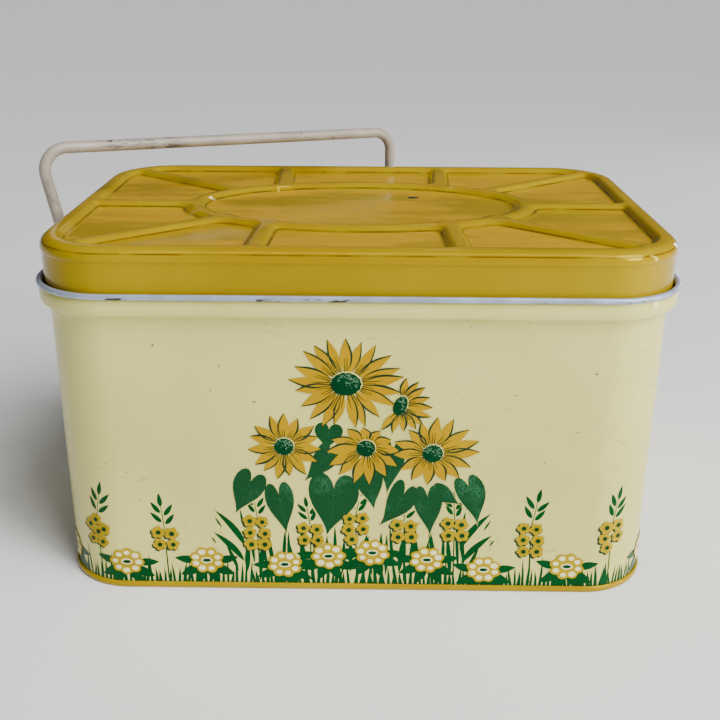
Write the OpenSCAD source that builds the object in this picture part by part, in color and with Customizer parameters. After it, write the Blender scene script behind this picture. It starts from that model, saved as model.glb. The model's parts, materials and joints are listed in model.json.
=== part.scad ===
// Tin lunch box: a lithographed sheet-steel body with a stepped collar and a wired
// rim, a seamed bottom, an embossed plug lid and a loose wire bail.
// Millimetres. +Z is up, +X is the long side, and the origin is the bottom centre.

/* [Body] */
// Length of the wall, outside
body_l = 250; // [200:1:320]
// Depth of the wall, outside
body_w = 168.4; // [140:0.1:220]
// Outside radius of the wall's corners
body_r = 27.9; // [20:0.1:40]
// Height of the rim's top
rim_z = 132.2; // [110:0.1:170]
// Thickness of the sheet
sheet = 0.35; // [0.3:0.05:0.6]

/* [Collar] */
// Height of the collar band between the shoulder and the rim
collar_h = 9; // [7:0.1:14]
// How far the collar stands out from the wall
collar_out = 2.5; // [2:0.1:4]
// How far the collar bulges beyond its upper edge
collar_bulge = 1.5; // [0:0.1:2]
// Thickness of the rolled rim
curl_d = 2.4; // [2:0.1:3]
// Thickness of the wire inside the rolled rim
rim_wire_d = 1.3; // [1:0.1:1.5]

/* [Bottom] */
// Height of the bottom seam
seam_h = 1.9; // [1.6:0.1:5]
// How far the seam stands out from the wall
seam_out = 1; // [0.6:0.1:2]
// Height of the bottom panel above the table
panel_z = 1.7; // [1.2:0.1:4]

/* [Lid] */
// Height of the lid's top above the table
lid_top = 149.3; // [140:0.1:190]
// Outside radius of the lid's corners
lid_r = 30.6; // [24:0.1:40]
// Radius of the lid's top edge
lid_edge_r = 5; // [3:0.1:7]
// How far the panels sink below the ribs
emboss = 2.2; // [0.8:0.1:2.4]
// Width of a rib
rib_w = 7.5; // [4:0.1:9]
// Width of the flat border around the panels
border_w = 9; // [7:0.1:14]
// Length and depth of the oval plate
oval_size = [140, 78]; // [60:1:160]
// Gap between the lid and the body
lid_gap = 0.3; // [0.3:0.05:0.6]

/* [Bail] */
// Thickness of the bail's rod
rod_d = 5.2; // [4:0.1:6]
// Distance between the bail's two corners
bail_w = 185; // [176:0.5:188]
// Radius of the rod's centre line at its bends
bend_r = 10; // [6:0.5:14]
// Place of the rear leg's axis
rear_leg = [14.5, 94]; // [-40:0.5:100]
// Height of the corner above the rear leg
rear_corner_z = 165.4; // [160:0.1:180]
// Height of the corner above the free leg
free_corner_z = 172.2; // [164:0.1:185]
// Direction from the rear leg to the free leg
bail_turned = 212.2; // [205:0.1:225]
// Lean of the free leg towards the box
leg_lean = 10.3; // [5:0.1:12]
// Height of the free leg's toe
toe_z = 116.2; // [112:0.1:119]
// Radius of the rod's centre line at the toe
toe_r = 4; // [3:0.5:5]
// Straight length of the toe
toe_l = 1.5; // [0.5:0.1:2]

/* [Rear ear] */
// Height of the ear's barrel
barrel_h = 14; // [10:0.5:20]
// Height of the barrel's lower end
barrel_z = 98; // [60:0.5:104]
// Wall of the barrel
barrel_wall = 1.4; // [1:0.1:2]
// Clearance between the rod and the barrel's bore, on each side
bore_gap = 0.05; // [0.02:0.01:0.1]
// Distance between the two rivets
rivet_pitch = 24; // [20:0.5:36]

/* [Hidden] */
$fn = 96;

// The lines that the body's ring sections are measured from
wall_l = body_l;
wall_w = body_w;
shoulder_z = rim_z - curl_d / 2 - collar_h;
curl_z = rim_z - curl_d / 2;
curl_x = collar_out - sheet + curl_d / 2;
// The wall's foot stands in the seam's fold
wall_foot_z = seam_h + 0.4;
fold_in = sheet + 0.9;
bead_r = 0.7;
step_h = 0.8;
panel_in = sheet + 0.5;
step_in = 15;
step_w = 3;
wire_gap = 0.1;
// The upright lock seam on the back wall
lock_w = 5;
lock_t = 0.8;
lock_x = -wall_l / 4;
hem_h = 4;
// The shoulder slopes up by this much from the wall to the collar
shoulder_rise = 1.2;

// The outside of the collar, from the shoulder up to the rolled rim
collar_line = [
  [collar_out + 0.5 * collar_bulge, shoulder_z + 0.6 * shoulder_rise],
  [collar_out + 0.9 * collar_bulge, shoulder_z + 0.22 * collar_h],
  [collar_out + collar_bulge, shoulder_z + 0.42 * collar_h],
  [collar_out + 0.8 * collar_bulge, shoulder_z + 0.66 * collar_h],
  [collar_out, curl_z]
];
// The sheet's inner face lies this much higher where it slopes
sheet_rise = 0.1;

// The lid sits inside the collar
lid_l = body_l + 2 * (collar_out - sheet - lid_gap);
lid_w = body_w + 2 * (collar_out - sheet - lid_gap);
skirt_z = shoulder_z + shoulder_rise + lid_gap;
field_z = lid_top - emboss;

// Panel layout on the lid, in one quarter that is mirrored
field_l = lid_l - 2 * border_w;
field_w = lid_w - 2 * border_w;
field_r = lid_r - border_w;
oval_ring_w = 7;
rib_overlap = 0.3;
side_rib_x = 37;
side_rib_lean = 3;
corner_rib_from = [oval_size[0] * 0.41, oval_size[1] * 0.35];
corner_rib_in = 6;
border_t = 0.7;

// The bail's own plane: u runs from the rear leg to the free leg
bail_run = sqrt(bail_w * bail_w - pow(free_corner_z - rear_corner_z, 2));
bar_tilt = atan2(free_corner_z - rear_corner_z, bail_run);
rear_foot_z = barrel_z - 5;
free_leg_l = (free_corner_z - toe_z) / cos(leg_lean);
rear_turn = 90 - bar_tilt;
free_turn = 90 + bar_tilt + leg_lean;
toe_turn = 90 - leg_lean;
// How far each bend starts before its corner
rear_cut = bend_r * tan(rear_turn / 2);
free_cut = bend_r * tan(free_turn / 2);
toe_cut = toe_r * tan(toe_turn / 2);

bite = 0.5;
bend_swell = 0.08;

// The ear stands on the back wall
back_y = body_w / 2;
barrel_r = rod_d / 2 + bore_gap + barrel_wall;
strap_t = 1;
strap_l = rivet_pitch + 12;
rivet_d = 4;
rivet_head_d = 7;
rivet_z = barrel_z + barrel_h / 2;

// ---------- helpers ----------

// A section drawn as [distance outside the reference line, height], carried around
// a rounded rectangle of size l by w whose corners have radius r
module around(l, w, r) {
  for (corner = [[1, 1, 0], [-1, 1, 90], [-1, -1, 180], [1, -1, 270]])
    translate([corner[0] * (l / 2 - r), corner[1] * (w / 2 - r), 0])
      rotate([0, 0, corner[2]]) rotate_extrude(angle = 90) translate([r, 0]) children();
  for (side = [0, 180]) {
    rotate([0, 0, side]) translate([l / 2, w / 2 - r, 0])
      rotate([90, 0, 0]) linear_extrude(w - 2 * r) children();
    rotate([0, 0, side]) translate([-(l / 2 - r), w / 2, 0])
      rotate([90, 0, 90]) linear_extrude(l - 2 * r) children();
  }
}

// A rounded rectangle made of two strips and four circles
module rounded_rect(l, w, r) {
  square([l, w - 2 * r], center = true);
  square([l - 2 * r, w], center = true);
  for (x = [-1, 1])
    for (y = [-1, 1])
      translate([x * (l / 2 - r), y * (w / 2 - r)]) circle(r);
}

// A round-ended bar between two points
module bar_2d(a, b, width) {
  run = b - a;
  translate(a) circle(d = width);
  translate(b) circle(d = width);
  translate((a + b) / 2) rotate(atan2(run[1], run[0])) square([norm(run), width], center = true);
}

// A quarter of round plate edge, hollow side down
module edge_section(r, t) {
  intersection() {
    translate([-r, -r]) difference() {
      circle(r);
      circle(r - t);
    }
    translate([-r, -r]) square(r);
  }
}

// An oval whose outline has a point every few degrees
module oval(l, w) {
  polygon([for (a = [0 : 5 : 355]) [l / 2 * cos(a), w / 2 * sin(a)]]);
}

// ---------- body ----------

module body_wrap() {
  color("cornsilk") {
    around(wall_l, wall_w, body_r) {
      // the wall, the shoulder and the collar, as one folded sheet
      polygon(concat(
        [[0, wall_foot_z], [0, shoulder_z - shoulder_rise]],
        collar_line,
        [for (i = [len(collar_line) - 1 : -1 : 0]) collar_line[i] - [sheet, -sheet_rise]],
        [[-sheet, shoulder_z - shoulder_rise + sheet_rise], [-sheet, wall_foot_z]]
      ));
      // the sheet rolled outwards around the rim's wire
      translate([curl_x, curl_z]) difference() {
        circle(d = curl_d, $fn = 32);
        circle(d = rim_wire_d + wire_gap, $fn = 32);
      }
    }
    // the upright lock seam, folded to the inside of the back wall
    translate([lock_x, back_y - sheet / 2 - lock_t, wall_foot_z])
      cube([lock_w, lock_t, shoulder_z - wall_foot_z - lock_w]);
  }
}

module rim_wire() {
  color("silver")
    around(wall_l, wall_w, body_r)
      translate([curl_x, curl_z]) circle(d = rim_wire_d, $fn = 24);
}

module bottom_pan() {
  color("gold") {
    around(wall_l, wall_w, body_r) {
      // the seam: a rounded bead that grips the foot of the wall
      translate([-fold_in, 0]) square([fold_in + seam_out - bead_r + 0.1, wall_foot_z]);
      translate([seam_out - bead_r, bead_r]) circle(bead_r, $fn = 24);
      translate([seam_out - bead_r, wall_foot_z - bead_r]) circle(bead_r, $fn = 24);
      translate([seam_out - bead_r, bead_r]) square([bead_r, wall_foot_z - 2 * bead_r]);
    }
    // the panel, with a raised step that stiffens it
    translate([0, 0, panel_z])
      linear_extrude(sheet)
        rounded_rect(wall_l - 2 * panel_in, wall_w - 2 * panel_in, body_r - panel_in);
    translate([0, 0, panel_z + sheet / 2])
      linear_extrude(step_h + sheet / 2) difference() {
        rounded_rect(wall_l - 2 * step_in, wall_w - 2 * step_in, body_r - step_in);
        rounded_rect(
          wall_l - 2 * (step_in + step_w), wall_w - 2 * (step_in + step_w), body_r - step_in - step_w
        );
      }
  }
}

// ---------- lid ----------

// The ribs of one quarter of the lid: half of the end rib, one to the long side and
// one to the corner
module quarter_ribs() {
  bar_2d([oval_size[0] / 2, 0], [field_l / 2 + rib_overlap, 0], rib_w);
  bar_2d([side_rib_x, oval_size[1] / 2 - 6], [side_rib_x + side_rib_lean, field_w / 2 + rib_overlap], rib_w);
  bar_2d(corner_rib_from, [field_l / 2 - corner_rib_in, field_w / 2 - corner_rib_in], rib_w);
}

// The raised lines of the pressed pattern: ten ribs and the ring around the oval
module raised_2d() {
  difference() {
    union() {
      intersection() {
        rounded_rect(field_l + 2 * rib_overlap, field_w + 2 * rib_overlap, field_r + rib_overlap);
        for (x = [0, 1])
          for (y = [0, 1])
            mirror([x, 0]) mirror([0, y]) quarter_ribs();
      }
      oval(oval_size[0] + 2 * oval_ring_w, oval_size[1] + 2 * oval_ring_w);
    }
    oval(oval_size[0], oval_size[1]);
  }
}

module lid() {
  color("gold") {
    around(lid_l, lid_w, lid_r) {
      // the skirt, with a hem folded inside its lower edge
      translate([-sheet, skirt_z]) square([sheet, lid_top - lid_edge_r - skirt_z]);
      translate([-2 * sheet, skirt_z]) square([1.5 * sheet, hem_h]);
      // the rolled top edge, the flat border and its step down to the field
      translate([0, lid_top]) edge_section(lid_edge_r, border_t);
      translate([-border_w, lid_top - border_t]) square([border_w - lid_edge_r, border_t]);
      translate([-border_w, field_z - sheet]) square([border_t, emboss + sheet]);
    }
    // the sunk field, and the ribs that stand on it
    translate([0, 0, field_z - sheet])
      linear_extrude(sheet)
        rounded_rect(field_l + 2 * rib_overlap, field_w + 2 * rib_overlap, field_r + rib_overlap);
    translate([0, 0, field_z - 0.05]) linear_extrude(emboss + 0.05) raised_2d();
  }
}

// ---------- bail ----------

// A straight length of rod along +Z that reaches a little into the bends at both
// ends, with the children at its end
module straight(length) {
  translate([0, 0, -bite]) cylinder(d = rod_d, h = length + 2 * bite);
  translate([0, 0, length]) children();
}

// A bend that starts along +Z and turns towards +X, with the children at its end.
// The rod swells a little where it is bent.
module bend(radius, angle) {
  translate([radius, 0, 0]) rotate([90, 0, 0]) rotate([0, 0, 180 - angle])
    rotate_extrude(angle = angle) translate([radius, 0]) circle(d = rod_d + bend_swell);
  translate([radius * (1 - cos(angle)), 0, radius * sin(angle)]) rotate([0, angle, 0]) children();
}

module bail() {
  color("linen")
    translate([rear_leg[0], rear_leg[1], rear_foot_z]) rotate([0, 0, bail_turned]) {
      // the upset lower end, which keeps the leg in the ear's barrel
      translate([0, 0, -1.2]) cylinder(d = rod_d + 2, h = 1.4);
      straight(rear_corner_z - rear_cut - rear_foot_z)
        bend(bend_r, rear_turn)
          straight(bail_w - rear_cut - free_cut)
            bend(bend_r, free_turn)
              straight(free_leg_l - free_cut - toe_cut)
                bend(toe_r, toe_turn)
                  straight(toe_l);
    }
}

// ---------- rear ear ----------

module rear_ear() {
  color("silver")
    difference() {
      union() {
        translate([rear_leg[0] - strap_l / 2, back_y + 0.02, barrel_z + 1])
          cube([strap_l, strap_t, barrel_h - 2]);
        translate([rear_leg[0] - 3, back_y + 0.02, barrel_z])
          cube([6, rear_leg[1] - back_y, barrel_h]);
        translate([rear_leg[0], rear_leg[1], barrel_z]) cylinder(r = barrel_r, h = barrel_h);
      }
      translate([rear_leg[0], rear_leg[1], barrel_z - 1])
        cylinder(d = rod_d + 2 * bore_gap, h = barrel_h + 2);
    }
}

module ear_rivets() {
  color("silver")
    for (side = [-1, 1])
      translate([rear_leg[0] + side * rivet_pitch / 2, back_y + strap_t + 0.02, rivet_z])
        rotate([-90, 0, 0]) {
          cylinder(d = rivet_head_d, h = 0.6);
          translate([0, 0, 0.6]) cylinder(d1 = rivet_head_d, d2 = rivet_head_d - 3, h = 0.9);
        }
}

body_wrap();
rim_wire();
bottom_pan();
lid();
bail();
rear_ear();
ear_rivets();
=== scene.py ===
"""The looks of a tin lunch box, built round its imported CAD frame. Units are metres."""

import json
import math
import random

import bmesh
import bpy
from mathutils import Matrix, Vector, noise


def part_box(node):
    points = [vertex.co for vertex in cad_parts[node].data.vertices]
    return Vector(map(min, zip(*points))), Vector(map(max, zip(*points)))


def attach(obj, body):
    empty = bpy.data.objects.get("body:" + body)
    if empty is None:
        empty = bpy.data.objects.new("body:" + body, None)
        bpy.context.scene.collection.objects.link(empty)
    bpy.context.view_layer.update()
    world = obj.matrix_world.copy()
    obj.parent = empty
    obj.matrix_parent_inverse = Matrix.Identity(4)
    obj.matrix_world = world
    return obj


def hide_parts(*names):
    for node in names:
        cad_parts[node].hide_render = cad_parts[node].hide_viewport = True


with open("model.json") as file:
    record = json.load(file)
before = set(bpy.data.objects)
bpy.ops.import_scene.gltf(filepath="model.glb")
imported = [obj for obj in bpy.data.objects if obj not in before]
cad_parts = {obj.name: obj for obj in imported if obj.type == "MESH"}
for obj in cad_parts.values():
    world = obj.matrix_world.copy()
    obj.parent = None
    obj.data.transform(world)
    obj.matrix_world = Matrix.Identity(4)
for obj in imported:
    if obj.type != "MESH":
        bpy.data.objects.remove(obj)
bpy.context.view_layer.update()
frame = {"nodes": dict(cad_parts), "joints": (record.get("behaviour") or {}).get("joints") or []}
MM = 0.001

# ---------- sizes, in millimetres, from the frame ----------


def span(node):
    """A CAD node's lowest and highest corners, in millimetres."""
    low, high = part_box(node)
    return low / MM, high / MM


PAN_LOW, PAN_HIGH = span("bottom_pan")
WRAP_LOW, WRAP_HIGH = span("body_wrap")
LID_LOW, LID_HIGH = span("lid")
SEAM_OUT = 1.0
BEAD_R = 0.9
WALL_L = PAN_HIGH.x - PAN_LOW.x - 2 * SEAM_OUT
WALL_W = PAN_HIGH.y - PAN_LOW.y - 2 * SEAM_OUT
WALL_R = 27.9
WALL_FOOT = WRAP_LOW.z
RIM_Z = WRAP_HIGH.z
SHEET = 0.35
CURL_R = 1.2
CURL_OUT = WRAP_HIGH.x - WALL_L / 2 - CURL_R
COLLAR_OUT = CURL_OUT - CURL_R + SHEET
COLLAR_BULGE = 1.5
COLLAR_H = 9.0
SHOULDER_Z = RIM_Z - CURL_R - COLLAR_H
LID_L = LID_HIGH.x - LID_LOW.x
LID_W = LID_HIGH.y - LID_LOW.y
LID_R = 30.6
LID_TOP = LID_HIGH.z
SKIRT_Z = LID_LOW.z

CORNER_STEPS = 18
SIDE_STEP = 5.0
# The thin wall's waviness: its height, its length up the wall, and its pace round it
WAVE = 0.22
WAVE_RISE = 70
WAVE_ROUND = 2.2
# Waves fade in over this height above the foot and below the shoulder
WAVE_FADE = 25


# ---------- meshes ----------


def make_object(name, bm, smooth_angle=40):
    """An object from a bmesh in millimetres, shaded smooth below an angle."""
    bmesh.ops.recalc_face_normals(bm, faces=bm.faces)
    mesh = bpy.data.meshes.new(name)
    bm.to_mesh(mesh)
    bm.free()
    mesh.transform(Matrix.Scale(MM, 4))
    mesh.shade_smooth()
    mesh.set_sharp_from_angle(angle=math.radians(smooth_angle))
    obj = bpy.data.objects.new(name, mesh)
    bpy.context.scene.collection.objects.link(obj)
    return obj


def outline(length, width, radius, side_step=SIDE_STEP, corner_steps=CORNER_STEPS):
    """Stations round a rounded rectangle, anticlockwise from the front's middle.

    Each is (x, y, outward x, outward y, distance along the outline).
    """
    half_l, half_w = length / 2 - radius, width / 2 - radius
    arc = radius * math.pi / 2
    stations = []
    start = 0.0

    def side(x0, y0, x1, y1, nx, ny):
        nonlocal start
        run = math.hypot(x1 - x0, y1 - y0)
        count = max(2, round(run / side_step))
        for i in range(count):
            t = i / count
            stations.append((x0 + (x1 - x0) * t, y0 + (y1 - y0) * t, nx, ny, start + run * t))
        start += run

    def corner(cx, cy, from_angle):
        nonlocal start
        for i in range(corner_steps):
            t = i / corner_steps
            a = math.radians(from_angle + 90 * t)
            nx, ny = math.cos(a), math.sin(a)
            stations.append((cx + radius * nx, cy + radius * ny, nx, ny, start + arc * t))
        start += arc

    side(0, -width / 2, half_l, -width / 2, 0, -1)
    corner(half_l, -half_w, -90)
    side(length / 2, -half_w, length / 2, half_w, 1, 0)
    corner(half_l, half_w, 0)
    side(half_l, width / 2, -half_l, width / 2, 0, 1)
    corner(-half_l, half_w, 90)
    side(-length / 2, half_w, -length / 2, -half_w, -1, 0)
    corner(-half_l, -half_w, 180)
    side(-half_l, -width / 2, 0, -width / 2, 0, -1)
    return stations, start


def wall_wave(s, z):
    """How far the thin wall stands out from true at a place on it."""
    turn = s / PERIMETER * 2 * math.pi
    at = Vector((math.cos(turn) * WAVE_ROUND, math.sin(turn) * WAVE_ROUND, z / WAVE_RISE))
    above_foot = max(0.0, min(1.0, (z - 8) / WAVE_FADE))
    below_shoulder = max(0.0, min(1.0, (SHOULDER_Z - 4 - z) / WAVE_FADE))
    return WAVE * noise.noise(at) * (above_foot * below_shoulder)


STATIONS, PERIMETER = outline(WALL_L, WALL_W, WALL_R)


def sweep(name, profile, stations, waves=False, smooth_angle=40):
    """A closed section of (distance outside the outline, height), carried round it."""
    bm = bmesh.new()
    rings = []
    for x, y, nx, ny, s in stations:
        ring = []
        for d, z in profile:
            out = d + (wall_wave(s, z) if waves else 0.0)
            ring.append(bm.verts.new((x + nx * out, y + ny * out, z)))
        rings.append(ring)
    for a, b in zip(rings, rings[1:] + rings[:1]):
        for i in range(len(profile)):
            j = (i + 1) % len(profile)
            bm.faces.new((a[i], b[i], b[j], a[j]))
    return make_object(name, bm, smooth_angle)


def arc_points(cx, cz, radius, from_deg, to_deg, steps):
    """Points along an arc in a section."""
    turn = [math.radians(from_deg + (to_deg - from_deg) * i / steps) for i in range(steps + 1)]
    return [(cx + radius * math.cos(a), cz + radius * math.sin(a)) for a in turn]


def smooth_step(low, high, value):
    t = max(0.0, min(1.0, (value - low) / (high - low)))
    return t * t * (3 - 2 * t)


# ---------- materials ----------


class Nodes:
    """A material's node tree, with short names for what the materials share."""

    def __init__(self, name):
        self.material = bpy.data.materials.new(name)
        self.material.use_nodes = True
        self.tree = self.material.node_tree
        self.shader = self.tree.nodes["Principled BSDF"]
        self.where = self.tree.nodes.new("ShaderNodeTexCoord").outputs["Object"]

    def link(self, a, b):
        self.tree.links.new(a, b)

    def noise(self, scale, detail, roughness=0.55, stretch=(1, 1, 1)):
        """A noise pattern whose scale is in features per metre."""
        mapping = self.tree.nodes.new("ShaderNodeMapping")
        mapping.inputs["Scale"].default_value = stretch
        self.link(self.where, mapping.inputs["Vector"])
        node = self.tree.nodes.new("ShaderNodeTexNoise")
        node.inputs["Scale"].default_value = scale
        node.inputs["Detail"].default_value = detail
        node.inputs["Roughness"].default_value = roughness
        self.link(mapping.outputs[0], node.inputs["Vector"])
        return node.outputs[0]

    def band(self, value, low, high, out_low=0.0, out_high=1.0):
        """Maps a value from one range to another, smoothly and clamped."""
        node = self.tree.nodes.new("ShaderNodeMapRange")
        node.interpolation_type = "SMOOTHSTEP"
        limits = {"From Min": low, "From Max": high, "To Min": out_low, "To Max": out_high}
        for key, number in limits.items():
            node.inputs[key].default_value = number
        self.link(value, node.inputs["Value"])
        return node.outputs[0]

    def multiply(self, a, b):
        return self.math("MULTIPLY", a, b)

    def math(self, kind, a, b, clamp=True):
        node = self.tree.nodes.new("ShaderNodeMath")
        node.operation = kind
        node.use_clamp = clamp
        for value, socket in ((a, node.inputs[0]), (b, node.inputs[1])):
            if isinstance(value, (int, float)):
                socket.default_value = value
            else:
                self.link(value, socket)
        return node.outputs[0]

    def mix(self, factor, a, b):
        """Mixes two colours, each a tuple or a socket, by a factor socket."""
        node = self.tree.nodes.new("ShaderNodeMix")
        node.data_type = "RGBA"
        self.link(factor, node.inputs["Factor"])
        for value, socket in ((a, node.inputs[6]), (b, node.inputs[7])):
            if isinstance(value, tuple):
                socket.default_value = (*value, 1)
            else:
                self.link(value, socket)
        return node.outputs[2]

    def part(self, axis):
        """One coordinate, in metres."""
        node = self.tree.nodes.new("ShaderNodeSeparateXYZ")
        self.link(self.where, node.inputs[0])
        return node.outputs[axis]

    def height(self):
        """Height above the table, in metres."""
        return self.part("Z")

    def facing_up(self):
        """One where the surface is level, and less as it slopes."""
        geometry = self.tree.nodes.new("ShaderNodeNewGeometry")
        node = self.tree.nodes.new("ShaderNodeSeparateXYZ")
        self.link(geometry.outputs["Normal"], node.inputs[0])
        return node.outputs["Z"]

    def spot(self, place, size):
        """One inside a small ragged oval at (x, y), in metres, on the lid's sunk panel."""
        mapping = self.tree.nodes.new("ShaderNodeMapping")
        mapping.vector_type = "TEXTURE"
        mapping.inputs["Location"].default_value = (*place, 0.1475)
        mapping.inputs["Scale"].default_value = (*size, 0.004)
        self.link(self.where, mapping.inputs["Vector"])
        node = self.tree.nodes.new("ShaderNodeVectorMath")
        node.operation = "LENGTH"
        self.link(mapping.outputs[0], node.inputs[0])
        ragged = self.math("ADD", node.outputs["Value"], self.noise(900, 2), clamp=False)
        return self.band(ragged, 1.45, 1.15)

    def bump(self, value, distance, strength):
        node = self.tree.nodes.new("ShaderNodeBump")
        node.inputs["Distance"].default_value = distance
        node.inputs["Strength"].default_value = strength
        self.link(value, node.inputs["Height"])
        self.link(node.outputs[0], self.shader.inputs["Normal"])

    def finish(self, colour, roughness, metallic=0.0, gloss=0.5, tint=(1, 1, 1)):
        if isinstance(colour, tuple):
            self.shader.inputs["Base Color"].default_value = (*colour, 1)
        else:
            self.link(colour, self.shader.inputs["Base Color"])
        if isinstance(roughness, (int, float)):
            self.shader.inputs["Roughness"].default_value = roughness
        else:
            self.link(roughness, self.shader.inputs["Roughness"])
        self.shader.inputs["Metallic"].default_value = metallic
        self.shader.inputs["Specular IOR Level"].default_value = gloss
        self.shader.inputs["Specular Tint"].default_value = (*tint, 1)
        return self.material


YELLOW = (0.36, 0.245, 0.0002)
YELLOW_DEEP = (0.31, 0.20, 0.0002)
# Dust and painted sheen: the paler, greyer yellow that the lid's level faces get
DUST_AND_SHEEN = (0.54, 0.30, 0.003)
CREAM = (0.62, 0.58, 0.155)
CREAM_PALE = (0.71, 0.66, 0.19)
TAN = (0.40, 0.32, 0.15)
# Painted shade: the dark brown put along the feet of the lid's ribs, ring and border
CREASE_SHADE = (0.12, 0.06, 0.004)
STEEL = (0.50, 0.52, 0.54)
IRON = (0.035, 0.03, 0.028)


def yellow_enamel():
    """Glossy yellow enamel: dusty, scuffed and with a painted pale sheen where the lid is level, and with
    painted shade at its ribs' feet.
    """
    n = Nodes("yellow_enamel")
    flat = n.band(n.facing_up(), 0.965, 0.995)
    above = n.band(n.height(), 0.1440, 0.1446)
    worn = n.band(n.noise(30, 5, 0.6, (0.35, 1, 1)), 0.40, 0.54, 0.12, 1)
    grain = n.band(n.noise(260, 3, 0.6, (0.12, 1, 1)), 0.3, 0.7, 0.75, 1)
    # Dust and painted sheen: level faces on the lid turn paler in uneven patches, less so on the raised ribs
    # and border
    dust_and_sheen = n.multiply(n.multiply(n.multiply(flat, above), worn), grain)
    dust_and_sheen = n.multiply(dust_and_sheen, n.band(n.height(), 0.1478, 0.1486, 1.0, 0.45))
    tint = n.mix(n.band(n.noise(14, 3), 0.35, 0.65), YELLOW, YELLOW_DEEP)
    streaks = n.band(n.noise(160, 3, 0.6, (1, 1, 0.06)), 0.45, 0.75)
    tint = n.mix(n.multiply(streaks, 0.25), tint, YELLOW_DEEP)
    colour = n.mix(n.multiply(dust_and_sheen, 0.95), tint, DUST_AND_SHEEN)
    # Painted shade along the low part of the slopes that rise from the sunk panels, in uneven strength
    foot = n.multiply(n.band(n.height(), 0.14690, 0.14700), n.band(n.height(), 0.14765, 0.14735))
    sloping = n.multiply(foot, n.band(n.facing_up(), 0.995, 0.975))
    foot = n.multiply(sloping, n.band(n.noise(70, 4), 0.35, 0.60, 0.3, 1))
    colour = n.mix(n.multiply(foot, 0.9), colour, CREASE_SHADE)
    scuffs = n.band(n.noise(520, 4, 0.7, (0.2, 1, 1)), 0.60, 0.70)
    gate = n.multiply(n.multiply(n.band(n.noise(22, 2), 0.55, 0.68), flat), above)
    colour = n.mix(n.multiply(n.multiply(scuffs, gate), 0.55), colour, IRON)
    specks = n.band(n.noise(420, 2, 0.5), 0.74, 0.78)
    colour = n.mix(n.multiply(specks, 0.6), colour, IRON)
    colour = n.mix(n.spot((0.0245, 0.018), (0.0036, 0.0028)), colour, IRON)
    dulled = n.math("ADD", n.multiply(dust_and_sheen, 0.5), n.multiply(n.noise(60, 4), 0.2))
    rough = n.band(dulled, 0, 1, 0.08, 0.42)
    n.bump(n.noise(180, 5, 0.6), 0.00005, 0.3)
    return n.finish(colour, rough, tint=(1.0, 0.75, 0.06))


def litho_base():
    """Printed and varnished tinplate: a cream base coat with faint rubs and specks."""
    n = Nodes("litho_cream")
    tint = n.mix(n.band(n.noise(11, 4), 0.35, 0.68), CREAM_PALE, CREAM)
    rubs = n.band(n.noise(260, 3, 0.6, (0.4, 0.4, 1.6)), 0.60, 0.72)
    rubs = n.multiply(rubs, n.band(n.noise(16, 2), 0.50, 0.64))
    colour = n.mix(n.multiply(rubs, 0.5), tint, TAN)
    specks = n.band(n.noise(420, 2, 0.5), 0.735, 0.77)
    colour = n.mix(n.multiply(specks, 0.75), colour, IRON)
    rough = n.band(n.noise(34, 5), 0.3, 0.7, 0.12, 0.24)
    n.bump(n.noise(240, 4, 0.6), 0.00004, 0.3)
    return n.finish(colour, rough, gloss=0.6, tint=(1.0, 0.97, 0.75))


def ink(name, colour, second, scale=60, show=0.65):
    """One printed ink: two tones in soft patches, with highlights in its own colour."""
    n = Nodes(name)
    tint = n.mix(n.band(n.noise(scale, 4), 0.42, show), colour, second)
    pin = n.band(n.noise(900, 2, 0.5), 0.72, 0.78)
    mixed = n.mix(n.multiply(pin, 0.08), tint, CREAM)
    rough = n.band(n.noise(34, 5), 0.3, 0.7, 0.22, 0.36)
    strongest = max(colour)
    return n.finish(mixed, rough, gloss=0.3, tint=tuple(0.04 + 0.96 * c / strongest for c in colour))


def leaf_ink():
    """Dark green with a paler stippled bloom in soft patches."""
    n = Nodes("ink_leaf")
    bloom = n.multiply(n.band(n.noise(70, 3), 0.50, 0.68), n.band(n.noise(1500, 2, 0.6), 0.42, 0.56))
    colour = n.mix(bloom, (0.001, 0.036, 0.007), (0.02, 0.11, 0.05))
    rough = n.band(n.noise(34, 5), 0.3, 0.7, 0.16, 0.28)
    return n.finish(colour, rough, gloss=0.4, tint=(0.3, 1.0, 0.5))


def bare_rim():
    """The worn rolled rim: pale grey metal with dark chips along its lower edge."""
    n = Nodes("bare_rim")
    tint = n.mix(n.band(n.noise(90, 5), 0.35, 0.65), (0.40, 0.46, 0.60), (0.30, 0.34, 0.42))
    chips = n.band(n.noise(120, 3, 0.55, (0.5, 0.5, 1.2)), 0.60, 0.64)
    low = n.band(n.height(), 0.1313, 0.1309)
    colour = n.mix(n.multiply(chips, low), tint, IRON)
    rough = n.band(n.noise(200, 4), 0.3, 0.7, 0.28, 0.45)
    n.bump(n.noise(500, 4), 0.0001, 0.4)
    return n.finish(colour, rough, metallic=0.35)


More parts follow.
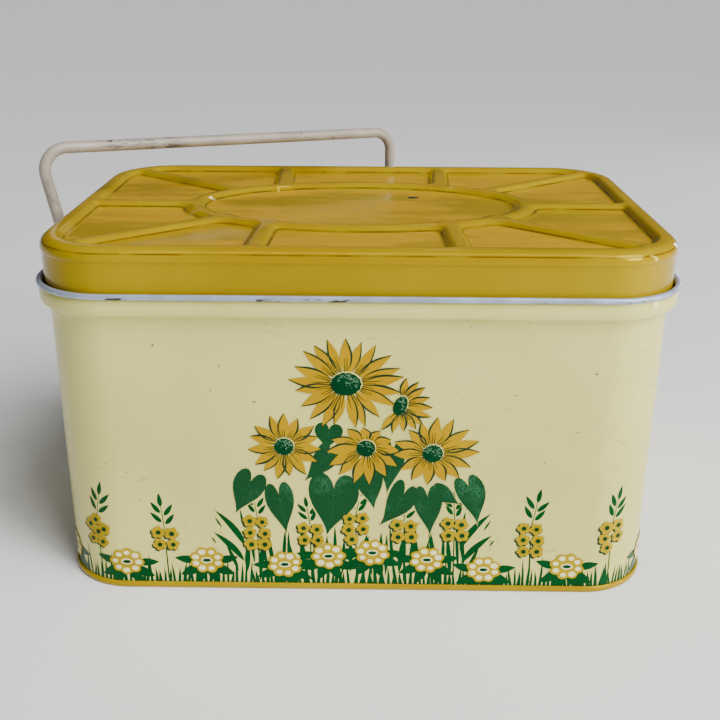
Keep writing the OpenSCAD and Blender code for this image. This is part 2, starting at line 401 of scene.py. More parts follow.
def handle_paint():
    """Thick white paint on the bail, rubbed dark along one stretch and grimy down its legs."""
    n = Nodes("handle_paint")
    tint = n.mix(n.band(n.noise(55, 5), 0.35, 0.7), (0.36, 0.315, 0.255), (0.265, 0.23, 0.185))
    grime = n.band(n.noise(200, 6, 0.75), 0.50, 0.66)
    leg = n.band(n.height(), 0.165, 0.150, 0.25, 0.8)
    colour = n.mix(n.multiply(grime, leg), tint, (0.19, 0.165, 0.14))
    along = n.part("X")
    stretch = n.multiply(n.band(along, -0.124, -0.108), n.band(along, -0.078, -0.088))
    streaks = n.band(n.noise(420, 5, 0.75, (0.22, 0.22, 1)), 0.46, 0.58)
    colour = n.mix(n.multiply(n.multiply(streaks, stretch), 0.85), colour, (0.07, 0.06, 0.055))
    chips = n.band(n.noise(330, 5, 0.7, (0.35, 0.35, 1)), 0.62, 0.68)
    chips = n.multiply(chips, n.band(n.noise(24, 2), 0.46, 0.60))
    colour = n.mix(chips, colour, (0.06, 0.05, 0.05))
    rough = n.band(n.noise(120, 4), 0.3, 0.7, 0.34, 0.55)
    n.bump(n.noise(340, 5, 0.6), 0.0002, 0.5)
    return n.finish(colour, rough)


def plain_steel():
    """Bare zinc-plated steel with fine scratches."""
    n = Nodes("plain_steel")
    tint = n.mix(n.band(n.noise(120, 5), 0.3, 0.7), STEEL, (0.33, 0.33, 0.33))
    rough = n.band(n.noise(700, 3, 0.6, (1, 1, 0.1)), 0.3, 0.7, 0.28, 0.5)
    n.bump(n.noise(700, 3, 0.6, (1, 1, 0.1)), 0.00005, 0.4)
    return n.finish(tint, rough, metallic=0.9)


def add_piece(obj, body, slot, material, *nodes):
    """Gives a piece its material and its body, and hides the CAD nodes it stands for. The slot is not used.
    """
    obj.data.materials.clear()
    obj.data.materials.append(material)
    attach(obj, body)
    if nodes:
        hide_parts(*nodes)


MAT_YELLOW = yellow_enamel()
MAT_CREAM = litho_base()
MAT_RIM = bare_rim()
MAT_HANDLE = handle_paint()
MAT_STEEL = plain_steel()
LINE_INK = (ink("ink_line", (0.006, 0.022, 0.012), (0.004, 0.014, 0.008)), "litho_line")
GREEN_INK = (ink("ink_green", (0.001, 0.045, 0.009), (0.001, 0.032, 0.006)), "litho_green")
BLOSSOM_INK = (ink("ink_blossom", (0.42, 0.292, 0.0002), (0.38, 0.26, 0.0002)), "litho_blossom")
# The printed layers, from the lowest to the highest
INKS = {
    "grass": GREEN_INK,
    "sprig": GREEN_INK,
    "halo": (MAT_CREAM, "litho_cream"),
    "leaf": (leaf_ink(), "litho_green"),
    "vein": (ink("ink_vein", (0.01, 0.075, 0.03), (0.006, 0.06, 0.02), 500, 0.55), "litho_green"),
    "shade": LINE_INK,
    "blossom": BLOSSOM_INK,
    "petal": (ink("ink_petal", (0.44, 0.262, 0.0002), (0.405, 0.235, 0.0002)), "litho_petal"),
    "line": LINE_INK,
    "rim": (MAT_CREAM, "litho_cream"),
    "row": BLOSSOM_INK,
    "disc": (ink("ink_disc", (0.001, 0.026, 0.008), (0.001, 0.016, 0.005)), "litho_green"),
    "white": (ink("ink_white", (0.86, 0.82, 0.42), (0.80, 0.74, 0.34)), "litho_white"),
    "dot": (ink("ink_dot", (0.12, 0.25, 0.14), (0.03, 0.12, 0.06), 700, 0.6), "litho_green"),
    "eye": (ink("ink_eye", (0.001, 0.028, 0.009), (0.001, 0.018, 0.006)), "litho_green"),
}

# ---------- the body ----------

WALL_ROWS = 22
# The shoulder starts this far below its own height, and swings out over this rise
SHOULDER_DROP = 1.4
SHOULDER_RISE = 3.4
# The share of the collar's bulge that the shoulder has already reached
BULGE_START = 0.72


def shell_section():
    """The wall, its shoulder and its bulged collar, as a closed section of the sheet."""
    outer = [(0.0, WALL_FOOT)]
    top = SHOULDER_Z - SHOULDER_DROP
    outer += [(0.0, WALL_FOOT + (top - WALL_FOOT) * (i + 1) / WALL_ROWS) for i in range(WALL_ROWS)]
    steps = 8
    low, high = top + SHOULDER_RISE, RIM_Z - CURL_R
    reach = COLLAR_OUT + BULGE_START * COLLAR_BULGE
    for i in range(1, steps + 1):
        t = i / steps
        outer.append((reach * smooth_step(0, 1, t), top + SHOULDER_RISE * t))
    for i in range(1, steps + 1):
        t = i / steps
        bulge = math.cos(math.pi * (t - 0.25) / 1.5)
        outer.append((COLLAR_OUT + COLLAR_BULGE * bulge * (1 - 0.22 * (1 - t)), low + (high - low) * t))
    inner = [(d - SHEET, z + 0.12 * (d > 0.01)) for d, z in reversed(outer)]
    return outer + inner


def build_body():
    """The printed shell, and the bare rim rolled outwards at its top."""
    shell = sweep("body_shell", shell_section(), STATIONS, waves=True)
    add_piece(shell, "box", "litho_cream", MAT_CREAM, "body_wrap")
    section = arc_points(CURL_OUT, RIM_Z - CURL_R, CURL_R, 0, 340, 17)
    curl = sweep("rim_curl", section, STATIONS, smooth_angle=60)
    add_piece(curl, "box", "bare_steel", MAT_RIM, "rim_wire")


def build_bottom():
    """The seam bead and the sunk panel with its stiffening step."""
    seam_top = PAN_HIGH.z - 0.1
    bead_in = -1.4
    section = [(bead_in, 0.3), (-1.1, 0.0)]
    section += arc_points(SEAM_OUT - BEAD_R, BEAD_R, BEAD_R, -90, 0, 6)
    section += arc_points(SEAM_OUT - BEAD_R, seam_top - BEAD_R, BEAD_R, 0, 90, 6)
    section += [(bead_in, seam_top)]
    bead = sweep("bottom_seam", section, STATIONS, smooth_angle=50)
    add_piece(bead, "box", "yellow_enamel", MAT_YELLOW)
    panel = [(-1.2, 2.0), (-13.0, 2.0), (-14.2, 2.8), (-30.0, 2.8)]
    bm = bmesh.new()
    rings = []
    for d, z in panel:
        rings.append([bm.verts.new((x + nx * d, y + ny * d, z)) for x, y, nx, ny, _ in coarse_inner(d)])
    for a, b in zip(rings, rings[1:]):
        for i in range(len(a)):
            j = (i + 1) % len(a)
            bm.faces.new((a[i], a[j], b[j], b[i]))
    bm.faces.new(rings[-1])
    plate = make_object("bottom_panel", bm)
    thicken(plate, SHEET)
    add_piece(plate, "box", "yellow_enamel", MAT_YELLOW, "bottom_pan")


def coarse_inner(d):
    """Stations whose corner radius stays above zero when moved in by d."""
    radius = max(WALL_R, 2 - d)
    return outline(WALL_L, WALL_W, radius, 40, 10)[0]


def thicken(obj, thickness):
    """Gives a sheet its thickness, inwards from the drawn face, and applies it."""
    solid = obj.modifiers.new("thickness", "SOLIDIFY")
    solid.thickness = thickness * MM
    solid.offset = -1
    graph = bpy.context.evaluated_depsgraph_get()
    mesh = bpy.data.meshes.new_from_object(obj.evaluated_get(graph))
    obj.modifiers.clear()
    obj.data = mesh


# ---------- the lid ----------

BORDER_W = 9.0
RIB_HALF = 4.0
OVAL = (70.0, 39.0)
OVAL_RING = 4.0
RIB_DROP = 0.35
PANEL_DROP = 2.2
SIDE_RIB_X = 37.5
SIDE_RIB_LEAN = 2.5
CORNER_RIB = ((57, 27), (113, 73))
PATTERN_Y = -1.5
LID_EDGE_R = 4.4
# The skirt stands this far inside the lid's outline, below a small step
SKIRT_IN = 0.35


def to_segment(x, y, ax, ay, bx, by):
    """Distance from a point to a line between two points."""
    dx, dy = bx - ax, by - ay
    t = max(0.0, min(1.0, ((x - ax) * dx + (y - ay) * dy) / (dx * dx + dy * dy)))
    return math.hypot(x - ax - dx * t, y - ay - dy * t)


def soft_min(a, b, k):
    """The lower of two distances, with a fillet where they meet."""
    h = max(0.0, min(1.0, 0.5 + 0.5 * (b - a) / k))
    return b + (a - b) * h - k * h * (1 - h)


def edge_inset(x, y):
    """How far inside the lid's outline a point lies."""
    qx = abs(x) - (LID_L / 2 - LID_R)
    qy = abs(y) - (LID_W / 2 - LID_R)
    outside = math.hypot(max(qx, 0), max(qy, 0)) + min(max(qx, qy), 0)
    return LID_R - outside


def lid_height(x, y):
    """The height of the pressed top: a border, ten ribs and an oval ring."""
    border = edge_inset(x, y) - BORDER_W
    px, py = abs(x), abs(y - PATTERN_Y)
    half_w = LID_W / 2
    ribs = to_segment(px, py, OVAL[0], 0, LID_L / 2, 0) - RIB_HALF
    side = to_segment(px, py, SIDE_RIB_X, OVAL[1] * 0.85, SIDE_RIB_X + SIDE_RIB_LEAN, half_w) - RIB_HALF
    corner = to_segment(px, py, *CORNER_RIB[0], *CORNER_RIB[1]) - RIB_HALF
    grown = math.hypot(px / OVAL[0], py / OVAL[1])
    slope = math.hypot(px / OVAL[0] ** 2, py / OVAL[1] ** 2) / max(grown, 1e-6)
    from_oval = (grown - 1) / max(slope, 1e-6)
    ring = abs(from_oval - OVAL_RING) - OVAL_RING
    inner = soft_min(soft_min(ribs, side, 3), corner, 3)
    inner = soft_min(inner, ring, 5)
    if grown < 1:
        inner = ring
    rib_up = 1 - smooth_step(-2.2, 1.4, inner)
    border_up = 1 - smooth_step(-2.0, 1.4, border)
    panel = LID_TOP - RIB_DROP - PANEL_DROP
    sag = 0.12 * noise.noise(Vector((x / 45, y / 45, 3.1)))
    rib_top = panel + PANEL_DROP * rib_up + sag
    return rib_top + (LID_TOP - rib_top) * border_up


def build_lid():
    """One pressed sheet: rings of points up the skirt, over the edge and in to the centre."""
    edge_r = LID_EDGE_R
    step_z = LID_TOP - edge_r - 1.0
    stations, _ = outline(LID_L, LID_W, LID_R, 1.3, 34)
    bm = bmesh.new()
    section = [(-SKIRT_IN, SKIRT_Z), (-SKIRT_IN, SKIRT_Z + 1.2)]
    section += [(-SKIRT_IN, SKIRT_Z + 1.2 + (step_z - SKIRT_Z - 1.6) * (i + 1) / 6) for i in range(6)]
    section += [(-0.30, step_z - 0.15), (-0.06, step_z + 0.15), (0.0, step_z + 0.5)]
    section += arc_points(-edge_r, LID_TOP - edge_r, edge_r, 0, 90, 12)
    rings = [[bm.verts.new((x + nx * d, y + ny * d, z)) for x, y, nx, ny, _ in stations] for d, z in section]
    flat_to = BORDER_W + 3
    steps = 9
    for i in range(1, steps + 1):
        d = edge_r + (flat_to - edge_r) * i / steps
        rings.append(lid_ring(bm, [(x - nx * d, y - ny * d) for x, y, nx, ny, _ in stations]))
    outer = [(v.co.x, v.co.y) for v in rings[-1]]
    oval_a, oval_b = OVAL[0] + 2 * OVAL_RING + 2, OVAL[1] + 2 * OVAL_RING + 2
    ellipse = []
    for x, y in outer:
        angle = math.atan2(y / (LID_W / 2), x / (LID_L / 2))
        ellipse.append((oval_a * math.cos(angle), PATTERN_Y + oval_b * math.sin(angle)))
    steps = 34
    for i in range(1, steps + 1):
        t = i / steps
        between = [(a[0] + (b[0] - a[0]) * t, a[1] + (b[1] - a[1]) * t) for a, b in zip(outer, ellipse)]
        rings.append(lid_ring(bm, between))
    shrink = [1 - 0.028 * i for i in range(1, 9)] + [0.776 - 0.09 * i for i in range(1, 8)]
    for k in shrink:
        rings.append(lid_ring(bm, [(x * k, PATTERN_Y + (y - PATTERN_Y) * k) for x, y in ellipse]))
    for a, b in zip(rings, rings[1:]):
        for i in range(len(a)):
            j = (i + 1) % len(a)
            bm.faces.new((a[i], a[j], b[j], b[i]))
    centre = bm.verts.new((0, PATTERN_Y, lid_height(0, PATTERN_Y)))
    last = rings[-1]
    for i in range(len(last)):
        bm.faces.new((last[i], last[(i + 1) % len(last)], centre))
    lid = make_object("lid_shell", bm, 50)
    thicken(lid, SHEET)
    add_piece(lid, "lid", "yellow_enamel", MAT_YELLOW, "lid")


def lid_ring(bm, points):
    """A ring of new vertices on the pressed top."""
    return [bm.verts.new((x, y, lid_height(x, y))) for x, y in points]


# ---------- the bail ----------

ROD_R = 2.6
BEND_R = 10.0
BAIL_W = 185.0
REAR_CORNER_Z = 165.4
FREE_CORNER_Z = 172.2
BAIL_TURNED = 212.2
LEG_LEAN = 10.3
TOE_Z = 116.2
TOE_R = 4.0
TOE_L = 1.5
REAR_FOOT_Z = 93.0


def bail_path():
    """The rod's centre line in its own plane, as (run, height), from foot to toe."""
    tilt = math.asin((FREE_CORNER_Z - REAR_CORNER_Z) / BAIL_W)
    rear_turn = math.pi / 2 - tilt
    free_turn = math.pi / 2 + tilt + math.radians(LEG_LEAN)
    toe_turn = math.pi / 2 - math.radians(LEG_LEAN)
    leg = (FREE_CORNER_Z - TOE_Z) / math.cos(math.radians(LEG_LEAN))
    turns = [(BEND_R, rear_turn), (BEND_R, free_turn), (TOE_R, toe_turn)]
    cuts = [radius * math.tan(turn / 2) for radius, turn in turns]
    rear_leg = REAR_CORNER_Z - cuts[0] - REAR_FOOT_Z
    lengths = [rear_leg, BAIL_W - cuts[0] - cuts[1], leg - cuts[1] - cuts[2], TOE_L]
    u, z, heading = 0.0, REAR_FOOT_Z, 0.0
    path = [(u, z, heading)]
    for i, length in enumerate(lengths):
        count = max(1, round(length / 6))
        for _ in range(count):
            u += math.sin(heading) * length / count
            z += math.cos(heading) * length / count
            path.append((u, z, heading))
        if i < len(turns):
            radius, turn = turns[i]
            cx, cz = u + radius * math.cos(heading), z - radius * math.sin(heading)
            start = heading
            for k in range(1, 13):
                heading = start + turn * k / 12
                u, z = cx - radius * math.cos(heading), cz + radius * math.sin(heading)
                path.append((u, z, heading))
    return path


def build_bail():
    """The bail's round rod, swept along its path from the pivot's axis."""
    pivot = Vector(frame_joint("bail_turn")["pos_m"]) / MM
    a = math.radians(BAIL_TURNED)
    along, across = Vector((math.cos(a), math.sin(a), 0)), Vector((-math.sin(a), math.cos(a), 0))
    up = Vector((0, 0, 1))
    bm = bmesh.new()
    rings = []
    sides = 24
    for u, z, heading in bail_path():
        centre = Vector((pivot.x, pivot.y, 0)) + along * u + up * z
        side = along * math.cos(heading) - up * math.sin(heading)
        ring = []
        for k in range(sides):
            t = 2 * math.pi * k / sides
            ring.append(bm.verts.new(centre + side * (ROD_R * math.cos(t)) + across * (ROD_R * math.sin(t))))
        rings.append(ring)
    for a_ring, b_ring in zip(rings, rings[1:]):
        for k in range(sides):
            j = (k + 1) % sides
            bm.faces.new((a_ring[k], a_ring[j], b_ring[j], b_ring[k]))
    for ring in (rings[0], rings[-1]):
        bmesh.ops.inset_individual(bm, faces=[bm.faces.new(ring)], thickness=0.5, depth=0.0)
    bail = make_object("bail_rod", bm, 50)
    add_piece(bail, "bail", "white_paint", MAT_HANDLE, "bail")


def frame_joint(name):
    """A joint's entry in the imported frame."""
    return next(j for j in frame["joints"] if j["name"] == name)


# ---------- the printed artwork ----------

INK_STEP = 0.03
STAGGER = 0.004


class Print:
    """Flat shapes in one ink, drawn in (distance round the wall, height)."""

    def __init__(self, name, level):
        self.name = name
        self.base = 0.01 + level * INK_STEP
        self.shapes = []

    def add(self, points):
        self.shapes.append(points)

    def build(self):
        """Lays the shapes on the wall as thin closed plates, in this ink's layer."""
        bm = bmesh.new()
        for i, shape in enumerate(self.shapes):
            step = STAGGER * (i % 7)
            bm.faces.new([bm.verts.new((s, z, step)) for s, z in shape])
            cut_at_corners(bm, shape)
        bmesh.ops.triangulate(bm, faces=bm.faces[:])
        flat = list(bm.verts)
        faces = list(bm.faces)
        rim = [e for e in bm.edges if e.is_boundary]
        low = {}
        for v in flat:
            s, z, step = v.co
            low[v] = bm.verts.new(wall_point(s, z, self.base + step - INK_STEP * 0.8))
            v.co = wall_point(s, z, self.base + step)
        for f in faces:
            bm.faces.new([low[v] for v in reversed(f.verts)])
        for e in rim:
            a, b = e.verts
            bm.faces.new((a, b, low[b], low[a]))
        obj = make_object("art_" + self.name, bm, 30)
        add_piece(obj, "box", INKS[self.name][1], INKS[self.name][0])


def wall_point(s, z, out):
    """The place on the wall at a distance round it from the front's middle."""
    s = s % PERIMETER
    low, high = 0, len(STATIONS)
    while high - low > 1:
        mid = (low + high) // 2
        if STATIONS[mid][4] <= s:
            low = mid
        else:
            high = mid
    a = STATIONS[low]
    b = STATIONS[(low + 1) % len(STATIONS)]
    end = b[4] if b[4] > a[4] else PERIMETER
    t = (s - a[4]) / (end - a[4])
    nx, ny = a[2] + (b[2] - a[2]) * t, a[3] + (b[3] - a[3]) * t
    size = math.hypot(nx, ny)
    stand = out + wall_wave(s, z)
    x, y = a[0] + (b[0] - a[0]) * t, a[1] + (b[1] - a[1]) * t
    return Vector((x + nx / size * stand, y + ny / size * stand, z))


def cut_at_corners(bm, shape):
    """Cuts a shape along the wall's own facets where it passes round a corner."""
    low, high = min(p[0] for p in shape), max(p[0] for p in shape)
    for turn in (-PERIMETER, 0, PERIMETER):
        for _, _, nx, ny, s in STATIONS:
            at = s + turn
            if low < at < high and nx * ny:
                near = [f for f in bm.faces if f.is_valid and not f.tag and touches(f, low, high)]
                edges = {e for f in near for e in f.edges}
                verts = {v for f in near for v in f.verts}
                geom = near + list(edges) + list(verts)
                bmesh.ops.bisect_plane(bm, geom=geom, plane_co=(at, 0, 0), plane_no=(1, 0, 0))
    for f in bm.faces:
        f.tag = True


def touches(face, low, high):
    """Whether any of a face lies within 1 mm of a stretch of the wall."""
    return any(low - 1 <= v.co.x <= high + 1 for v in face.verts)


ARTWORK = {name: Print(name, level) for level, name in enumerate(INKS)}


def moved(points, cx, cz):
    return [(cx + x, cz + z) for x, z in points]


def ring_shape(rx, rz, count=20, lobes=0, depth=0.0, turn=0.0):
    """A closed round or scalloped outline about the origin."""
    out = []
    for i in range(count):
        a = 2 * math.pi * i / count
        k = 1 - depth + depth * abs(math.cos(lobes * (a - turn) / 2)) if lobes else 1.0
        out.append((rx * k * math.cos(a), rz * k * math.sin(a)))
    return out


def blade(x, z, angle, length, width, curve=0.0, skew=0.75, power=0.85):
    """A leaf or petal shape from its foot, along an angle in degrees from upright."""
    steps = 8
    left, right = [], []
    a = math.radians(angle)
    for i in range(steps + 1):
        t = i / steps
        half = width / 2 * math.sin(math.pi * t ** skew) ** power if 0 < i < steps else 0.0
        bend = curve * t * t * length
        px = x + math.sin(a) * length * t + math.cos(a) * bend
        pz = z + math.cos(a) * length * t - math.sin(a) * bend
        if i in (0, steps):
            left.append((px, pz))
        else:
            left.append((px - math.cos(a) * half, pz + math.sin(a) * half))
            right.append((px + math.cos(a) * half, pz - math.sin(a) * half))
    return left + right[::-1]


def stroke(points, start, end, swell=0.0):
    """A tapering line through points, from one width to another, fuller between."""
    left, right = [], []
    for i, (x, z) in enumerate(points):
        before, after = points[max(0, i - 1)], points[min(len(points) - 1, i + 1)]
        dx, dz = after[0] - before[0], after[1] - before[1]
        size = math.hypot(dx, dz) or 1
        t = i / (len(points) - 1)
        half = (start + (end - start) * t + swell * math.sin(math.pi * t)) / 2
        left.append((x - dz / size * half, z + dx / size * half))
        right.append((x + dz / size * half, z - dx / size * half))
    return left + right[::-1]


def sunflower(cx, cz, rx, rz, disc, petals, seed, first=0.0, last=360.0, tilt=0.0, shift=(0, 0)):
    """Pointed petals with dark edges round a dark seed disc lit from one side."""
    rng = random.Random(seed)
    for i in range(petals):
        angle = first + (last - first) * (i + 0.5 * (last - first < 360)) / petals + rng.uniform(-3, 3)
        a = math.radians(angle)
        reach = rng.uniform(0.90, 1.05)
        tip = (cx + shift[0] + rx * reach * math.sin(a), cz + shift[1] + rz * reach * math.cos(a))
        foot = (cx + disc[0] * 0.8 * math.sin(a), cz + disc[1] * 0.8 * math.cos(a))
        length = math.dist(tip, foot)
        turn = math.degrees(math.atan2(tip[0] - foot[0], tip[1] - foot[1]))
        width = math.radians(last - first) * (rx + rz) / 2 * rng.uniform(0.60, 0.74) / petals
        shape = blade(*foot, turn, length, width, rng.uniform(-0.08, 0.08), 0.95, 1.05)
        ARTWORK["petal"].add(shape)
        half = len(shape) // 2 + 1
        side = shape[:half] if rng.random() < 0.5 else [shape[0]] + shape[half - 1:][::-1]
        ARTWORK["line"].add(stroke(side[1:], 0.15, 0.25, rng.uniform(0.35, 0.75)))
        for k in (-1, 1):
            if rng.random() < 0.8:
                start = (foot[0] + k * math.cos(a) * width * 0.10, foot[1] - k * math.sin(a) * width * 0.10)
                run = length * rng.uniform(0.36, 0.52)
                way = math.radians(turn)
                end = (start[0] + math.sin(way) * run, start[1] + math.cos(way) * run)
                ARTWORK["line"].add(stroke([start, end], 0.50, 0.16))
    cos_tilt, sin_tilt = math.cos(math.radians(tilt)), math.sin(math.radians(tilt))

    def turned(points):
        return [(x * cos_tilt + z * sin_tilt, z * cos_tilt - x * sin_tilt) for x, z in points]

    ARTWORK["rim"].add(moved(turned(ring_shape(disc[0] * 1.01, disc[1] * 1.01, 28)), cx + 0.2, cz + 0.3))
    ARTWORK["disc"].add(moved(turned(ring_shape(*disc, 28, 14, 0.05)), cx, cz))
    for _ in range(int(disc[0] * disc[1] * 6)):
        a, k = rng.uniform(0, 2 * math.pi), math.sqrt(rng.random()) * 0.88
        x, z = k * math.cos(a), k * math.sin(a)
        if x * 0.4 + z * 0.9 > rng.uniform(-0.25, 0.45):
            size = rng.uniform(0.14, 0.30)
            place = turned([(x * disc[0], z * disc[1])])[0]
            ARTWORK["dot"].add(moved(ring_shape(size * 1.3, size, 7), cx + place[0], cz + place[1]))


def heart_leaf(tip, top, width, lean=0.0):
    """A heart-shaped leaf hung from its notch, with veins and a pale edge round it."""
    ax, az = top[0] - tip[0], top[1] - tip[1]
    size = math.hypot(ax, az)
    px, pz = az / size, -ax / size

    def place(x, y):
        k = (y + 17) / 29
        side = x / 32 * width + lean * math.sin(k * math.pi) * width
        return tip[0] + ax * k + px * side, tip[1] + az * k + pz * side

    for name, grow in (("halo", 1.07), ("leaf", 1.0)):
        points = []
        for i in range(34):
            t = 2 * math.pi * i / 34 + math.pi / 34
            x = 16 * math.sin(t) ** 3
            y = 13 * math.cos(t) - 5 * math.cos(2 * t) - 2 * math.cos(3 * t) - math.cos(4 * t)
            points.append(place(x * grow, (y + 2) * grow - 2))
        ARTWORK[name].add(points)
    ARTWORK["vein"].add(stroke([place(0, 4), place(0.5, -4), place(0, -14)], 0.30, 0.1))
    for k, y in enumerate((2, -2, -6)):
        reach = 9.5 - 2.2 * k
        right = [place(0.5, y), place(reach * 0.6, y + 2.2), place(reach, y + 2.4)]
        left = [place(-0.5, y), place(-reach * 0.6, y + 2.0), place(-reach, y + 2.0)]
        ARTWORK["vein"].add(stroke(right, 0.28, 0.06))
        ARTWORK["vein"].add(stroke(left, 0.22, 0.05))


def blossom(x, z, r, turn):
    """A small five-lobed flower with a shadow edge and a dark eye."""
    lobes = ring_shape(r, r, 40, 5, 0.26, turn)
    ARTWORK["shade"].add(moved(lobes, x - 0.65, z - 0.6))
    ARTWORK["blossom"].add(moved(lobes, x, z))
    ARTWORK["eye"].add(moved(ring_shape(r * 0.34, r * 0.34, 10), x + 0.1, z))


def spike(x, z, places, seed, k=1.0):
    """A head of small blossoms with a leafy sprig standing above it."""
    rng = random.Random(seed)
    for dx, dz in places:
        blossom(x + dx, z + dz, rng.uniform(2.8, 3.2), rng.uniform(0, 1.2))
    top = z + max(p[1] for p in places) + 1.5
    lean = rng.uniform(-12, 12)
    drift = math.tan(math.radians(lean))
    stem = [(x, top), (x + drift * 6 * k, top + 6 * k), (x + drift * 11 * k, top + 11 * k)]
    ARTWORK["sprig"].add(stroke(stem, 0.40, 0.25))
    for side, up in ((-1, 3.2 * k), (1, 2.2 * k), (-1, 7.6 * k), (1, 6.4 * k)):
        angle = lean + side * rng.uniform(30, 46)
        start = (x + drift * up + side * 0.7, top + up)
        ARTWORK["sprig"].add(blade(*start, angle, rng.uniform(6.4, 7.6) * k, 2.1 * k ** 0.6, side * -0.05))
    ARTWORK["sprig"].add(blade(x + drift * 11 * k, top + 10.6 * k, lean, 6.6 * k, 2.0 * k ** 0.6))
    ARTWORK["grass"].add(stroke([(x, z - 2), (x + 0.4, 4)], 0.5, 0.7))


# Where the blossoms of one head stand, about its middle
CLUSTER = ((-0.6, 6.2), (-3.6, 3.4), (3.0, 2.2), (0.2, 0.6), (-3.0, -3.4), (2.0, -4.0))
SIX = ((-3.2, 5.8), (2.0, 5.4), (-3.2, 0.2), (3.0, -0.2), (-2.8, -5.4), (2.8, -5.4))
FIVE = ((-2.6, 4.4), (2.8, 4.8), (-3.0, -0.8), (3.1, -0.4), (-1.6, -5.4))
FOUR = ((-2.8, 2.8), (2.8, 2.2), (-2.4, -3.0), (3.2, -3.0))


def row_flower(x, z, seed):
    """A round pale flower with a yellow edge, and dark leaves under it."""
    rng = random.Random(seed)
    for side in (-1, 1):
        for dx, dz, low, high, length, width in (
            (4.5, -0.5, 70, 92, 9.2, 3.8), (2.5, -3.0, 108, 124, 10, 4.6), (1.0, -3.0, 140, 162, 9.5, 4.8),
        ):
            leaf = blade(x + side * dx, z + dz, side * rng.uniform(low, high), length, width)
            ARTWORK["sprig"].add([(px, max(pz, WALL_FOOT + 0.05)) for px, pz in leaf])
    turn = rng.uniform(0, 0.8)
    ARTWORK["row"].add(moved(ring_shape(7.5, 6.5, 48, 8, 0.19, turn), x, z))
    for k in range(8):
        a = turn + 2 * math.pi * k / 8 + rng.uniform(-0.06, 0.06)
        size = rng.uniform(0.85, 1.15)
        lobe = ring_shape(1.45 * size, 1.2 * size, 12)
        ARTWORK["white"].add(moved(lobe, x + 5.0 * math.cos(a), z + 4.25 * math.sin(a)))
    ARTWORK["white"].add(moved(ring_shape(2.5, 1.45, 18), x, z))
    ARTWORK["eye"].add(moved(ring_shape(1.9, 0.9, 14, 7, 0.12), x, z))


def grass(start, end, seed):
    """A band of narrow blades that stand along the foot of the wall."""
    rng = random.Random(seed)
    foot = WALL_FOOT + 0.05
    s = start
    while s < end:
        height = rng.uniform(6, 11) if rng.random() < 0.70 else rng.uniform(11, 16)
        lean = rng.uniform(-9, 9)
        width = rng.uniform(1.2, 1.9)
        tip = (s + height * math.tan(math.radians(lean)), foot + height)
        mid = ((s + tip[0]) / 2 + rng.uniform(-0.3, 0.3), foot + height * 0.5)
        ARTWORK["grass"].add([(s - width / 2, foot), (mid[0] - width * 0.34, mid[1]), tip,
                              (mid[0] + width * 0.34, mid[1]), (s + width / 2, foot)])
        s += rng.uniform(1.45, 2.2)
    step = 20.0
    for i in range(int((end - start) / step)):
        s = start + i * step
        ARTWORK["shade"].add([(s, foot), (s + step, foot), (s + step, foot + 0.5), (s, foot + 0.5)])


def tall_grass(start, end, seed):
    """Taller blades that fill the gaps under the bouquet."""
    rng = random.Random(seed)
    s = start
    while s < end:
        foot = rng.uniform(6, 12)
        lean = rng.uniform(-12, 12)
        length = rng.uniform(15, 24)
        width = rng.uniform(1.4, 2.4)
        ARTWORK["grass"].add(blade(s, foot, lean, length, width, 0.0, 0.9))
        s += rng.uniform(2.0, 3.6)


def long_blades(x, flip):
    """The tall bent blades at one side of the bouquet."""
    for dx, z, angle, length, width, curve in (
        (0, 19.6, 18, 21, 3.0, 0.30), (0.8, 12.9, 28, 18.5, 3.0, 0.24), (9.6, 29.2, 29, 6, 0.9, 0.0),
        (0.7, 29.7, 7, 8.8, 1.0, 0.0), (12.4, 21.6, 31, 3.9, 0.8, 0.0), (3.5, 8.0, 14, 14, 1.8, 0.1),
    ):
        ARTWORK["grass"].add(blade(x + flip * dx, z, flip * angle, length, width, flip * curve, 0.95))


def bouquet(s, crown):
    """The large group of sunflowers and heart-shaped leaves about a place on the wall.

    The crown is its two upper flowers, which the handle's ear would cover on the back.
    """
    tall_grass(s - 46, s + 48, 71)
    heart_leaf((s - 12, 66), (s - 10.5, 78), 11.5)
    heart_leaf((s - 21.4, 51.5), (s - 9, 68.5), 10, 0.1)
    heart_leaf((s + 12.7, 46), (s + 15.2, 71), 11)
    heart_leaf((s + 7.6, 38.7), (s + 4, 60), 12)
    heart_leaf((s - 50, 36), (s - 41, 56), 13.5)
    heart_leaf((s - 28.8, 26.5), (s - 32.6, 51), 12)
    heart_leaf((s - 12.2, 26), (s - 9, 55.5), 21, 0.05)
    heart_leaf((s + 43, 41.5), (s + 31, 49.5), 8)
    heart_leaf((s + 9.4, 31), (s + 21.5, 51.5), 12, 0.14)
    heart_leaf((s + 31, 26.5), (s + 29, 50.5), 12)
    heart_leaf((s + 50.5, 32), (s + 44, 55), 12, 0.1)
    if crown:
        sunflower(s + 17.5, 86, 13.5, 12, (2.7, 4.4), 11, 12, 2, 222, 22)
        sunflower(s - 4, 95, 22, 19.5, (6.2, 5.0), 21, 11)
    sunflower(s - 29, 67.5, 15.2, 14.6, (4.0, 3.8), 15, 13)
    sunflower(s + 31, 65, 17, 15, (4.2, 4.0), 15, 14, shift=(1.5, 1.0))
    sunflower(s + 4, 67, 14.6, 13.6, (3.9, 3.7), 13, 15, shift=(-1.4, -3.0))
    for k, (dx, z, places) in enumerate((
        (-41, 27, SIX), (-19, 27, FOUR), (0, 30, FIVE), (20, 29, FOUR), (41, 30, FOUR),
    )):
        spike(s + dx, z, places, 30 + k, 0.78)
    long_blades(s - 46.2, -1)
    long_blades(s + 43.5, 1)


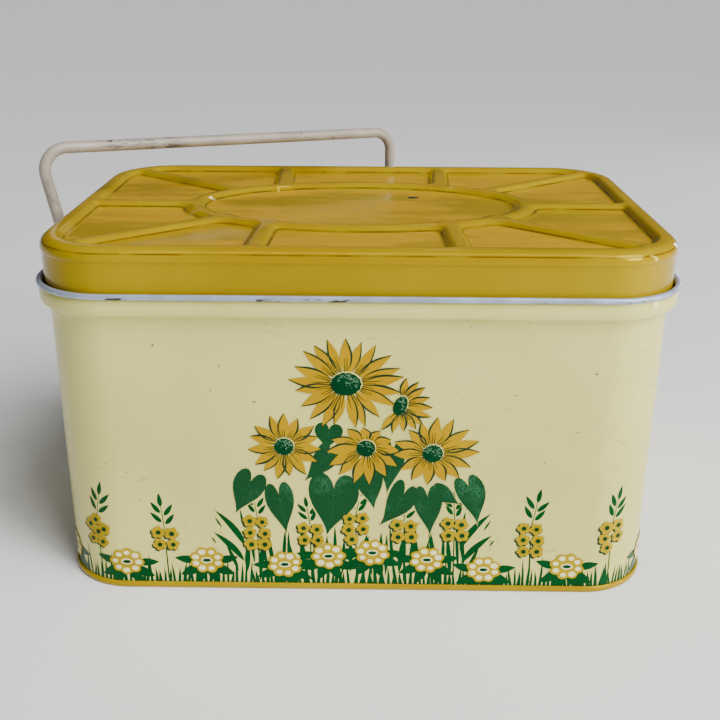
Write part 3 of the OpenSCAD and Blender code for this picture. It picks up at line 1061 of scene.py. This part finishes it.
# Places on the wall, here and in bouquet() and long_blades(): millimetres from the
# middle of a face, and above the table. The front's come from points read off the
# photograph, rounded and some of them adjusted; the ends' are made up.
FACE_ROW = (
    (-97, 12.5), (-63, 13.6), (-30, 12), (-11.5, 16.3), (7, 18.2), (30, 15), (54, 10.5), (89, 12.5),
)
FACE_SPIKES = ((-109, 25, CLUSTER), (-80, 24, FOUR), (73, 25, SIX), (107, 26.5, FIVE))
END_ROW = ((-66, 12.5), (-30, 13.5), (4, 12), (38, 13.5), (68, 12))
END_SPIKES = ((-48, 25, FIVE), (-12, 24, FOUR), (22, 26, SIX), (53, 25, FOUR))


def border_flowers(middle, row, spikes, row_seed, spike_seed):
    """The row of flowers and the outer heads along one face of the wall."""
    for k, (x, z) in enumerate(row):
        row_flower(middle + x, z, row_seed + k)
    for k, (x, z, places) in enumerate(spikes):
        spike(middle + x, z, places, spike_seed + k)


def draw_artwork():
    """The front and back, then the two ends, then grass all round."""
    for s in (0, PERIMETER / 2):
        bouquet(s, s == 0)
        border_flowers(s, FACE_ROW, FACE_SPIKES, 60, 100)
    for side in (-1, 1):
        border_flowers(side * PERIMETER / 4, END_ROW, END_SPIKES, 140 + 10 * side, 170 + 10 * side)
    grass(0, PERIMETER - 1, 5)
    for art in ARTWORK.values():
        art.build()


# ---------- the stage ----------


def build_stage():
    """A pale floor, a dim world, a broad soft sun and a few small lights for highlights."""
    bpy.ops.mesh.primitive_plane_add(size=60, location=(0, 0, 0))
    floor = bpy.context.object
    floor.name = "floor"
    n = Nodes("floor_white")
    n.finish((0.86, 0.86, 0.855), 0.6)
    floor.data.materials.append(n.material)
    world = bpy.data.worlds.new("studio")
    world.use_nodes = True
    world.node_tree.nodes["Background"].inputs[0].default_value = (1, 1, 1, 1)
    world.node_tree.nodes["Background"].inputs[1].default_value = 0.07
    bpy.context.scene.world = world
    sun = bpy.data.lights.new("sky", "SUN")
    sun.energy = 3.5
    sun.angle = math.radians(35)
    aim(sun, (0.95, -0.75, 1.5))
    for name, place, size, power in (
        ("key", (0.78, -0.75, 0.6), (0.4, 0.4), 10),
        ("window", (0.85, 0.85, 0.20), (0.10, 0.3), 1.2),
        ("strip", (1.0, -0.25, 0.35), (0.08, 0.7), 4),
        ("glint", (-0.35, -0.75, 1.1), (0.02, 0.02), 0.1),
        ("ridge", (0.0, -0.35, 1.25), (0.7, 0.05), 2.5),
        ("spark", (0.15, 1.3, 1.0), (0.015, 0.015), 0.1),
    ):
        data = bpy.data.lights.new(name, "AREA")
        data.shape = "RECTANGLE"
        data.size, data.size_y = size
        data.energy = power
        aim(data, place)


def aim(data, place):
    """Puts a light at a place, turned to the middle of the tin."""
    light = bpy.data.objects.new(data.name, data)
    light.location = place
    light.rotation_euler = (Vector((0, 0, 0.07)) - Vector(place)).to_track_quat("-Z", "Y").to_euler()
    bpy.context.scene.collection.objects.link(light)


def build_camera():
    """The photograph's viewpoint, from a fit: a little above the lid, almost square to the front."""
    pitch, yaw, roll = math.radians(21.59), math.radians(-0.79), math.radians(0.24)
    ahead = Vector((math.sin(yaw) * math.cos(pitch), math.cos(yaw) * math.cos(pitch), -math.sin(pitch)))
    right = Vector((math.cos(yaw), -math.sin(yaw), 0))
    up = right.cross(ahead)
    right, up = right * math.cos(roll) + up * math.sin(roll), up * math.cos(roll) - right * math.sin(roll)
    data = bpy.data.cameras.new("camera")
    data.lens = 49.87
    data.sensor_width = 36
    camera = bpy.data.objects.new("camera", data)
    turn = Matrix((right, up, -ahead)).transposed().to_4x4()
    camera.matrix_world = Matrix.Translation((0.00643, -0.4448, 0.2479)) @ turn
    bpy.context.scene.collection.objects.link(camera)
    bpy.context.scene.camera = camera


def finish_ear():
    """The ear and its rivets keep their CAD meshes, in bare steel."""
    for node in ("rear_ear", "ear_rivets"):
        ear = frame["nodes"][node]
        ear.data.materials.clear()
        ear.data.materials.append(MAT_STEEL)


build_camera()
build_stage()
build_body()
build_bottom()
build_lid()
build_bail()
draw_artwork()
finish_ear()
